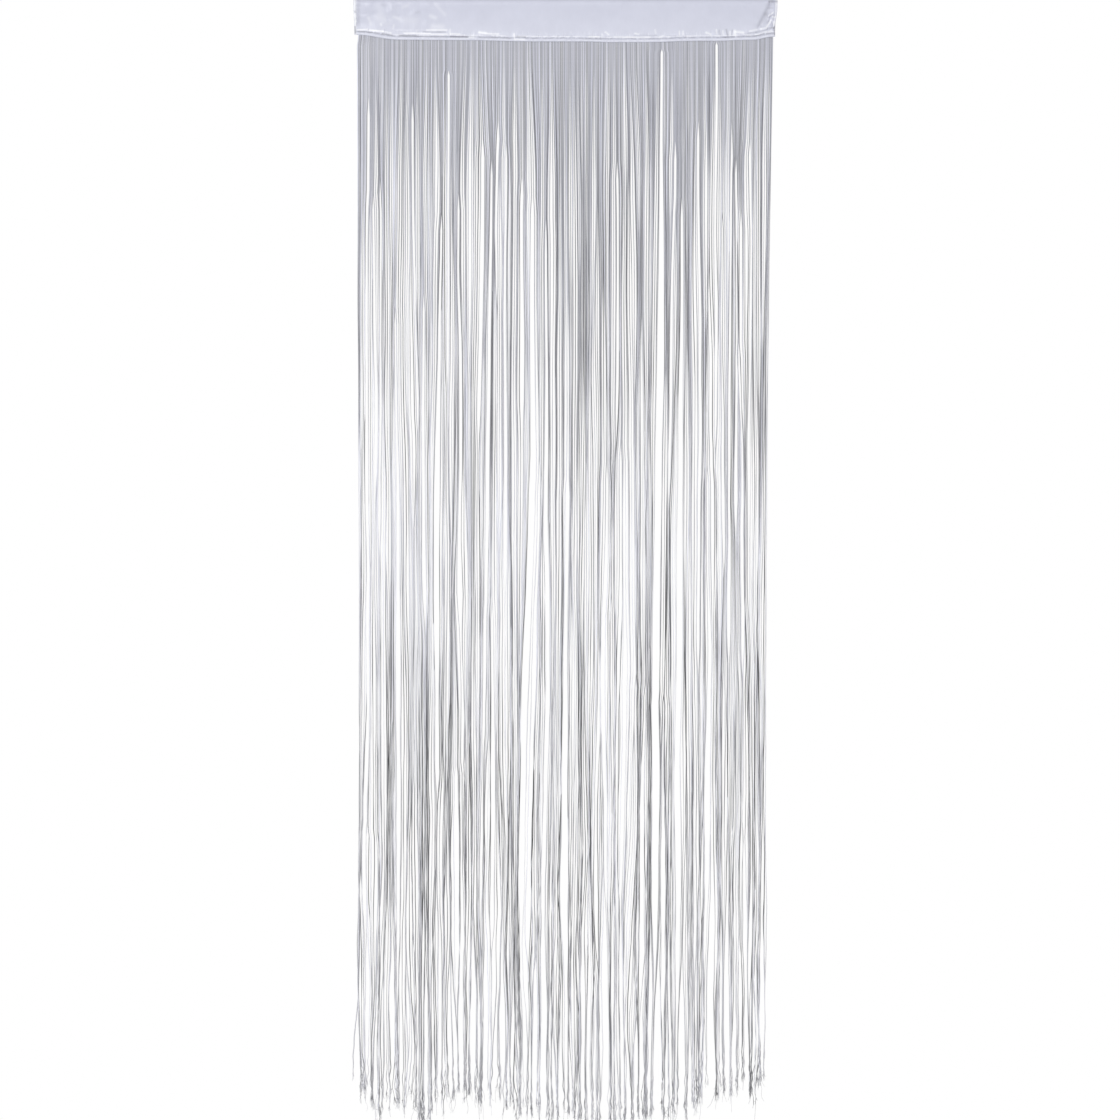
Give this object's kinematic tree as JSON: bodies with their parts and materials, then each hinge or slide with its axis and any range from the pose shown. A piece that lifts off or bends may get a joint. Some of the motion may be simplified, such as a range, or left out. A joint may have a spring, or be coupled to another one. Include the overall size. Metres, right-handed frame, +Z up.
{
  "type": "string curtain",
  "caption": "Door-width string curtain: a white satin rod sleeve with a dense fringe of long fine strings that end in frayed tips.",
  "frame": {"origin": "centre line of the curtain rod in the sleeve, at the middle of the sleeve's width", "axes": "+Z up, against the hang of the strings; +X along the rod, to the right as seen from the front; -Y out of the front"},
  "size_m": [0.9, 0.0258, 2.3935],
  "materials": {
    "satin": "satin",
    "knitted_tape": "matte",
    "sewing_thread": "satin",
    "string_yarn": "satin"
  },
  "bodies": {
    "header": {"header_sleeve": "satin", "fringe_tape": "knitted_tape", "hem_needle_thread": "sewing_thread", "hem_bobbin_thread": "sewing_thread", "side_thread_left": "sewing_thread", "side_thread_right": "sewing_thread"},
    "strings_01": {"strings_01": "string_yarn"},
    "strings_02": {"strings_02": "string_yarn"},
    "strings_03": {"strings_03": "string_yarn"},
    "strings_04": {"strings_04": "string_yarn"},
    "strings_05": {"strings_05": "string_yarn"},
    "strings_06": {"strings_06": "string_yarn"},
    "strings_07": {"strings_07": "string_yarn"},
    "strings_08": {"strings_08": "string_yarn"},
    "strings_09": {"strings_09": "string_yarn"},
    "strings_10": {"strings_10": "string_yarn"},
    "strings_11": {"strings_11": "string_yarn"},
    "strings_12": {"strings_12": "string_yarn"},
    "strings_13": {"strings_13": "string_yarn"},
    "strings_14": {"strings_14": "string_yarn"},
    "strings_15": {"strings_15": "string_yarn"},
    "strings_16": {"strings_16": "string_yarn"},
    "strings_17": {"strings_17": "string_yarn"},
    "strings_18": {"strings_18": "string_yarn"},
    "strings_19": {"strings_19": "string_yarn"},
    "strings_20": {"strings_20": "string_yarn"},
    "strings_21": {"strings_21": "string_yarn"},
    "strings_22": {"strings_22": "string_yarn"},
    "strings_23": {"strings_23": "string_yarn"},
    "strings_24": {"strings_24": "string_yarn"},
    "strings_25": {"strings_25": "string_yarn"},
    "strings_26": {"strings_26": "string_yarn"},
    "strings_27": {"strings_27": "string_yarn"},
    "strings_28": {"strings_28": "string_yarn"},
    "strings_29": {"strings_29": "string_yarn"},
    "strings_30": {"strings_30": "string_yarn"},
    "strings_31": {"strings_31": "string_yarn"},
    "strings_32": {"strings_32": "string_yarn"},
    "strings_33": {"strings_33": "string_yarn"},
    "strings_34": {"strings_34": "string_yarn"},
    "strings_35": {"strings_35": "string_yarn"},
    "strings_36": {"strings_36": "string_yarn"}
  },
  "joints": [
    {"name": "swing_01", "type": "hinge", "parent": "header", "child": "strings_01", "pos_m": [-0.42875, 0, -0.08065], "axis": [1, 0, 0], "range_deg": [-80, 80]},
    {"name": "swing_02", "type": "hinge", "parent": "header", "child": "strings_02", "pos_m": [-0.40425, 0, -0.08065], "axis": [1, 0, 0], "range_deg": [-80, 80]},
    {"name": "swing_03", "type": "hinge", "parent": "header", "child": "strings_03", "pos_m": [-0.37975, 0, -0.08065], "axis": [1, 0, 0], "range_deg": [-80, 80]},
    {"name": "swing_04", "type": "hinge", "parent": "header", "child": "strings_04", "pos_m": [-0.35525, 0, -0.08065], "axis": [1, 0, 0], "range_deg": [-80, 80]},
    {"name": "swing_05", "type": "hinge", "parent": "header", "child": "strings_05", "pos_m": [-0.33075, 0, -0.08065], "axis": [1, 0, 0], "range_deg": [-80, 80]},
    {"name": "swing_06", "type": "hinge", "parent": "header", "child": "strings_06", "pos_m": [-0.30625, 0, -0.08065], "axis": [1, 0, 0], "range_deg": [-80, 80]},
    {"name": "swing_07", "type": "hinge", "parent": "header", "child": "strings_07", "pos_m": [-0.28175, 0, -0.08065], "axis": [1, 0, 0], "range_deg": [-80, 80]},
    {"name": "swing_08", "type": "hinge", "parent": "header", "child": "strings_08", "pos_m": [-0.25725, 0, -0.08065], "axis": [1, 0, 0], "range_deg": [-80, 80]},
    {"name": "swing_09", "type": "hinge", "parent": "header", "child": "strings_09", "pos_m": [-0.23275, 0, -0.08065], "axis": [1, 0, 0], "range_deg": [-80, 80]},
    {"name": "swing_10", "type": "hinge", "parent": "header", "child": "strings_10", "pos_m": [-0.20825, 0, -0.08065], "axis": [1, 0, 0], "range_deg": [-80, 80]},
    {"name": "swing_11", "type": "hinge", "parent": "header", "child": "strings_11", "pos_m": [-0.18375, 0, -0.08065], "axis": [1, 0, 0], "range_deg": [-80, 80]},
    {"name": "swing_12", "type": "hinge", "parent": "header", "child": "strings_12", "pos_m": [-0.15925, 0, -0.08065], "axis": [1, 0, 0], "range_deg": [-80, 80]},
    {"name": "swing_13", "type": "hinge", "parent": "header", "child": "strings_13", "pos_m": [-0.13475, 0, -0.08065], "axis": [1, 0, 0], "range_deg": [-80, 80]},
    {"name": "swing_14", "type": "hinge", "parent": "header", "child": "strings_14", "pos_m": [-0.11025, 0, -0.08065], "axis": [1, 0, 0], "range_deg": [-80, 80]},
    {"name": "swing_15", "type": "hinge", "parent": "header", "child": "strings_15", "pos_m": [-0.08575, 0, -0.08065], "axis": [1, 0, 0], "range_deg": [-80, 80]},
    {"name": "swing_16", "type": "hinge", "parent": "header", "child": "strings_16", "pos_m": [-0.06125, 0, -0.08065], "axis": [1, 0, 0], "range_deg": [-80, 80]},
    {"name": "swing_17", "type": "hinge", "parent": "header", "child": "strings_17", "pos_m": [-0.03675, 0, -0.08065], "axis": [1, 0, 0], "range_deg": [-80, 80]},
    {"name": "swing_18", "type": "hinge", "parent": "header", "child": "strings_18", "pos_m": [-0.01225, 0, -0.08065], "axis": [1, 0, 0], "range_deg": [-80, 80]},
    {"name": "swing_19", "type": "hinge", "parent": "header", "child": "strings_19", "pos_m": [0.01225, 0, -0.08065], "axis": [1, 0, 0], "range_deg": [-80, 80]},
    {"name": "swing_20", "type": "hinge", "parent": "header", "child": "strings_20", "pos_m": [0.03675, 0, -0.08065], "axis": [1, 0, 0], "range_deg": [-80, 80]},
    {"name": "swing_21", "type": "hinge", "parent": "header", "child": "strings_21", "pos_m": [0.06125, 0, -0.08065], "axis": [1, 0, 0], "range_deg": [-80, 80]},
    {"name": "swing_22", "type": "hinge", "parent": "header", "child": "strings_22", "pos_m": [0.08575, 0, -0.08065], "axis": [1, 0, 0], "range_deg": [-80, 80]},
    {"name": "swing_23", "type": "hinge", "parent": "header", "child": "strings_23", "pos_m": [0.11025, 0, -0.08065], "axis": [1, 0, 0], "range_deg": [-80, 80]},
    {"name": "swing_24", "type": "hinge", "parent": "header", "child": "strings_24", "pos_m": [0.13475, 0, -0.08065], "axis": [1, 0, 0], "range_deg": [-80, 80]},
    {"name": "swing_25", "type": "hinge", "parent": "header", "child": "strings_25", "pos_m": [0.15925, 0, -0.08065], "axis": [1, 0, 0], "range_deg": [-80, 80]},
    {"name": "swing_26", "type": "hinge", "parent": "header", "child": "strings_26", "pos_m": [0.18375, 0, -0.08065], "axis": [1, 0, 0], "range_deg": [-80, 80]},
    {"name": "swing_27", "type": "hinge", "parent": "header", "child": "strings_27", "pos_m": [0.20825, 0, -0.08065], "axis": [1, 0, 0], "range_deg": [-80, 80]},
    {"name": "swing_28", "type": "hinge", "parent": "header", "child": "strings_28", "pos_m": [0.23275, 0, -0.08065], "axis": [1, 0, 0], "range_deg": [-80, 80]},
    {"name": "swing_29", "type": "hinge", "parent": "header", "child": "strings_29", "pos_m": [0.25725, 0, -0.08065], "axis": [1, 0, 0], "range_deg": [-80, 80]},
    {"name": "swing_30", "type": "hinge", "parent": "header", "child": "strings_30", "pos_m": [0.28175, 0, -0.08065], "axis": [1, 0, 0], "range_deg": [-80, 80]},
    {"name": "swing_31", "type": "hinge", "parent": "header", "child": "strings_31", "pos_m": [0.30625, 0, -0.08065], "axis": [1, 0, 0], "range_deg": [-80, 80]},
    {"name": "swing_32", "type": "hinge", "parent": "header", "child": "strings_32", "pos_m": [0.33075, 0, -0.08065], "axis": [1, 0, 0], "range_deg": [-80, 80]},
    {"name": "swing_33", "type": "hinge", "parent": "header", "child": "strings_33", "pos_m": [0.35525, 0, -0.08065], "axis": [1, 0, 0], "range_deg": [-80, 80]},
    {"name": "swing_34", "type": "hinge", "parent": "header", "child": "strings_34", "pos_m": [0.37975, 0, -0.08065], "axis": [1, 0, 0], "range_deg": [-80, 80]},
    {"name": "swing_35", "type": "hinge", "parent": "header", "child": "strings_35", "pos_m": [0.40425, 0, -0.08065], "axis": [1, 0, 0], "range_deg": [-80, 80]},
    {"name": "swing_36", "type": "hinge", "parent": "header", "child": "strings_36", "pos_m": [0.42875, 0, -0.08065], "axis": [1, 0, 0], "range_deg": [-80, 80]}
  ]
}
